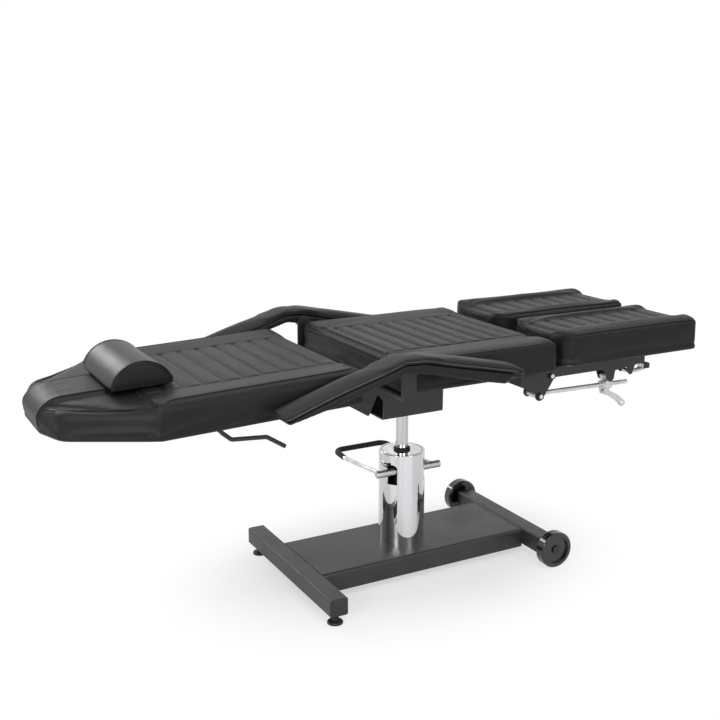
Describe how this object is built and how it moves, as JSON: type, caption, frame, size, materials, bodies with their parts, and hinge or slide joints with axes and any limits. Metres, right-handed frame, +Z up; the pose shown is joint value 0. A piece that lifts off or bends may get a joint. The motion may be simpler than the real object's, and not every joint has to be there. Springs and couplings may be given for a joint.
{
  "type": "tattoo chair",
  "caption": "Hydraulic tattoo chair on a wheeled steel base, with reclining padded back, chevron armrests, loose head pillow and separate leg rests that drop.",
  "frame": {"origin": "on the floor, under the middle of the pump column", "axes": "+X from the head end to the foot end, +Y to the sitter's left, +Z up"},
  "size_m": [1.7799, 0.73, 0.697],
  "materials": {
    "black_coat": "satin",
    "chrome": "polished",
    "steel": "satin",
    "zinc": "satin",
    "upholstery": "satin",
    "plywood": "matte",
    "black_plastic": "satin",
    "gloss_black": "gloss",
    "rubber": "matte"
  },
  "bodies": {
    "root": {"base_channel": "black_coat", "front_crossbar": "black_coat", "rear_axle_bar": "black_coat", "tube_end_caps": "black_plastic", "wheel_axle": "steel", "axle_caps": "black_plastic", "pump_cylinder": "steel", "pump_bolts": "steel", "pump_cover_lower": "chrome", "pump_cover_upper": "chrome", "pump_top_cap": "chrome", "rod_wiper_seal": "rubber", "pedal_bearings": "steel", "plunger_spring": "steel"},
    "foot_right": {"levelling_foot_right": "black_plastic"},
    "foot_left": {"levelling_foot_left": "black_plastic"},
    "wheel_right": {"wheel_right": "gloss_black"},
    "wheel_left": {"wheel_left": "gloss_black"},
    "pedal": {"pedal_shaft": "steel", "pedal_lever": "chrome", "pedal_sleeve": "rubber"},
    "plunger": {"pump_plunger": "steel"},
    "ram": {"ram_rod": "chrome", "ram_piston": "steel"},
    "seat": {"swivel_hub": "black_coat", "seat_box": "black_coat", "seat_rails": "black_coat", "spring_bracket": "black_coat", "seat_board": "plywood", "seat_cushion": "upholstery", "leg_brackets": "black_coat", "bracket_bolts": "steel", "armrest_uprights": "black_coat"},
    "backrest": {"backrest_frame": "black_coat", "backrest_board": "plywood", "backrest_cushion": "upholstery", "recline_hinge_pin": "steel"},
    "gas_cylinder": {"gas_spring_cylinder": "black_coat"},
    "gas_rod": {"gas_spring_rod": "chrome"},
    "recline_lever": {"recline_lever": "black_coat"},
    "pillow": {"head_pillow": "upholstery"},
    "armrest_right": {"armrest_base_right": "upholstery", "armrest_pad_right": "upholstery"},
    "leg_right": {"leg_cushion_right": "upholstery", "leg_board_right": "plywood", "leg_arm_right": "black_coat"},
    "leg_clamp_right": {"leg_clamp_right": "zinc"},
    "leg_rod_right": {"leg_rod_right": "zinc"},
    "clamp_lever_right": {"clamp_lever_right": "zinc"},
    "latch_lever_right": {"latch_lever_right": "zinc"},
    "armrest_left": {"armrest_base_left": "upholstery", "armrest_pad_left": "upholstery"},
    "leg_left": {"leg_cushion_left": "upholstery", "leg_board_left": "plywood", "leg_arm_left": "black_coat"},
    "leg_clamp_left": {"leg_clamp_left": "zinc"},
    "leg_rod_left": {"leg_rod_left": "zinc"},
    "clamp_lever_left": {"clamp_lever_left": "zinc"},
    "latch_lever_left": {"latch_lever_left": "zinc"}
  },
  "joints": [
    {"name": "ram_lift", "type": "slide", "parent": "root", "child": "ram", "axis": [0, 0, 1], "range_m": [-0.1, 0.05]},
    {"name": "seat_swivel", "type": "hinge", "parent": "ram", "child": "seat", "pos_m": [0, 0, 0.47], "axis": [0, 0, 1], "continuous": true},
    {"name": "backrest_recline", "type": "hinge", "parent": "seat", "child": "backrest", "pos_m": [-0.268, 0, 0.553], "axis": [0, 1, 0], "range_deg": [0, 70]},
    {"name": "gas_cylinder_swing", "type": "hinge", "parent": "seat", "child": "gas_cylinder", "pos_m": [-0.19, 0.04, 0.475], "axis": [0, 1, 0], "range_deg": [0, 35]},
    {"name": "gas_rod_swing", "type": "hinge", "parent": "backrest", "child": "gas_rod", "pos_m": [-0.346, 0.04, 0.475], "axis": [0, 1, 0], "range_deg": [-35, 0]},
    {"name": "recline_lever_pull", "type": "hinge", "parent": "backrest", "child": "recline_lever", "pos_m": [-0.606, -0.2, 0.538], "axis": [0, 1, 0], "range_deg": [0, 15]},
    {"name": "pillow_slide", "type": "slide", "parent": "backrest", "child": "pillow", "axis": [0.9995, 0, 0.0332], "range_m": [-0.05, 0.25]},
    {"name": "pedal_pump", "type": "hinge", "parent": "root", "child": "pedal", "pos_m": [0, -0.035, 0.283], "axis": [1, 0, 0], "range_deg": [-18, 8], "stiffness_Nm_per_rad": 6, "springref_deg": 9.74},
    {"name": "plunger_stroke", "type": "slide", "parent": "root", "child": "plunger", "axis": [0, 0, 1], "range_m": [-0.0085, 0.0038], "deforming": ["plunger_spring"]},
    {"name": "foot_screw_right", "type": "hinge", "parent": "root", "child": "foot_right", "pos_m": [-0.3288, -0.2346, 0.02], "axis": [0, 0, 1], "continuous": true},
    {"name": "wheel_roll_right", "type": "hinge", "parent": "root", "child": "wheel_right", "pos_m": [0.355, -0.2319, 0.0508], "axis": [0, 1, 0], "continuous": true},
    {"name": "armrest_tilt_right", "type": "hinge", "parent": "seat", "child": "armrest_right", "pos_m": [-0.155, -0.31, 0.648], "axis": [0, 1, 0], "range_deg": [-75, 15]},
    {"name": "leg_drop_right", "type": "hinge", "parent": "seat", "child": "leg_right", "pos_m": [0.3033, -0.225, 0.5574], "axis": [0, 1, 0], "range_deg": [0, 80]},
    {"name": "clamp_swing_right", "type": "hinge", "parent": "leg_right", "child": "leg_clamp_right", "pos_m": [0.514, -0.225, 0.525], "axis": [0, 1, 0], "range_deg": [0, 3.14]},
    {"name": "rod_slide_right", "type": "slide", "parent": "leg_clamp_right", "child": "leg_rod_right", "axis": [0.9998, 0, -0.0202], "range_m": [0, 0.08]},
    {"name": "clamp_grip_right", "type": "hinge", "parent": "leg_clamp_right", "child": "clamp_lever_right", "pos_m": [0.512, -0.225, 0.4805], "axis": [0, 1, 0], "range_deg": [0, 60]},
    {"name": "latch_pull_right", "type": "hinge", "parent": "leg_right", "child": "latch_lever_right", "pos_m": [0.585, -0.225, 0.533], "axis": [0, 1, 0], "range_deg": [0, 20]},
    {"name": "foot_screw_left", "type": "hinge", "parent": "root", "child": "foot_left", "pos_m": [-0.3288, 0.2346, 0.02], "axis": [0, 0, 1], "continuous": true},
    {"name": "wheel_roll_left", "type": "hinge", "parent": "root", "child": "wheel_left", "pos_m": [0.355, 0.2319, 0.0508], "axis": [0, 1, 0], "continuous": true},
    {"name": "armrest_tilt_left", "type": "hinge", "parent": "seat", "child": "armrest_left", "pos_m": [-0.155, 0.31, 0.648], "axis": [0, 1, 0], "range_deg": [-75, 15]},
    {"name": "leg_drop_left", "type": "hinge", "parent": "seat", "child": "leg_left", "pos_m": [0.3033, 0.225, 0.5574], "axis": [0, 1, 0], "range_deg": [0, 80]},
    {"name": "clamp_swing_left", "type": "hinge", "parent": "leg_left", "child": "leg_clamp_left", "pos_m": [0.514, 0.225, 0.525], "axis": [0, 1, 0], "range_deg": [0, 3.14]},
    {"name": "rod_slide_left", "type": "slide", "parent": "leg_clamp_left", "child": "leg_rod_left", "axis": [0.9998, 0, -0.0202], "range_m": [0, 0.08]},
    {"name": "clamp_grip_left", "type": "hinge", "parent": "leg_clamp_left", "child": "clamp_lever_left", "pos_m": [0.512, 0.225, 0.4805], "axis": [0, 1, 0], "range_deg": [0, 60]},
    {"name": "latch_pull_left", "type": "hinge", "parent": "leg_left", "child": "latch_lever_left", "pos_m": [0.585, 0.225, 0.533], "axis": [0, 1, 0], "range_deg": [0, 20]}
  ],
  "couplings": [
    {"joint": "gas_cylinder_swing", "follows": "backrest_recline", "ratio": 0.5},
    {"joint": "gas_rod_swing", "follows": "backrest_recline", "ratio": -0.5},
    {"joint": "plunger_stroke", "follows": "pedal_pump", "m_per_rad": 0.027},
    {"joint": "clamp_swing_right", "follows": "leg_drop_right", "ratio": 0.039238},
    {"joint": "rod_slide_right", "follows": "leg_drop_right", "m_per_rad": 0.057296},
    {"joint": "clamp_swing_left", "follows": "leg_drop_left", "ratio": 0.039238},
    {"joint": "rod_slide_left", "follows": "leg_drop_left", "m_per_rad": 0.057296}
  ]
}
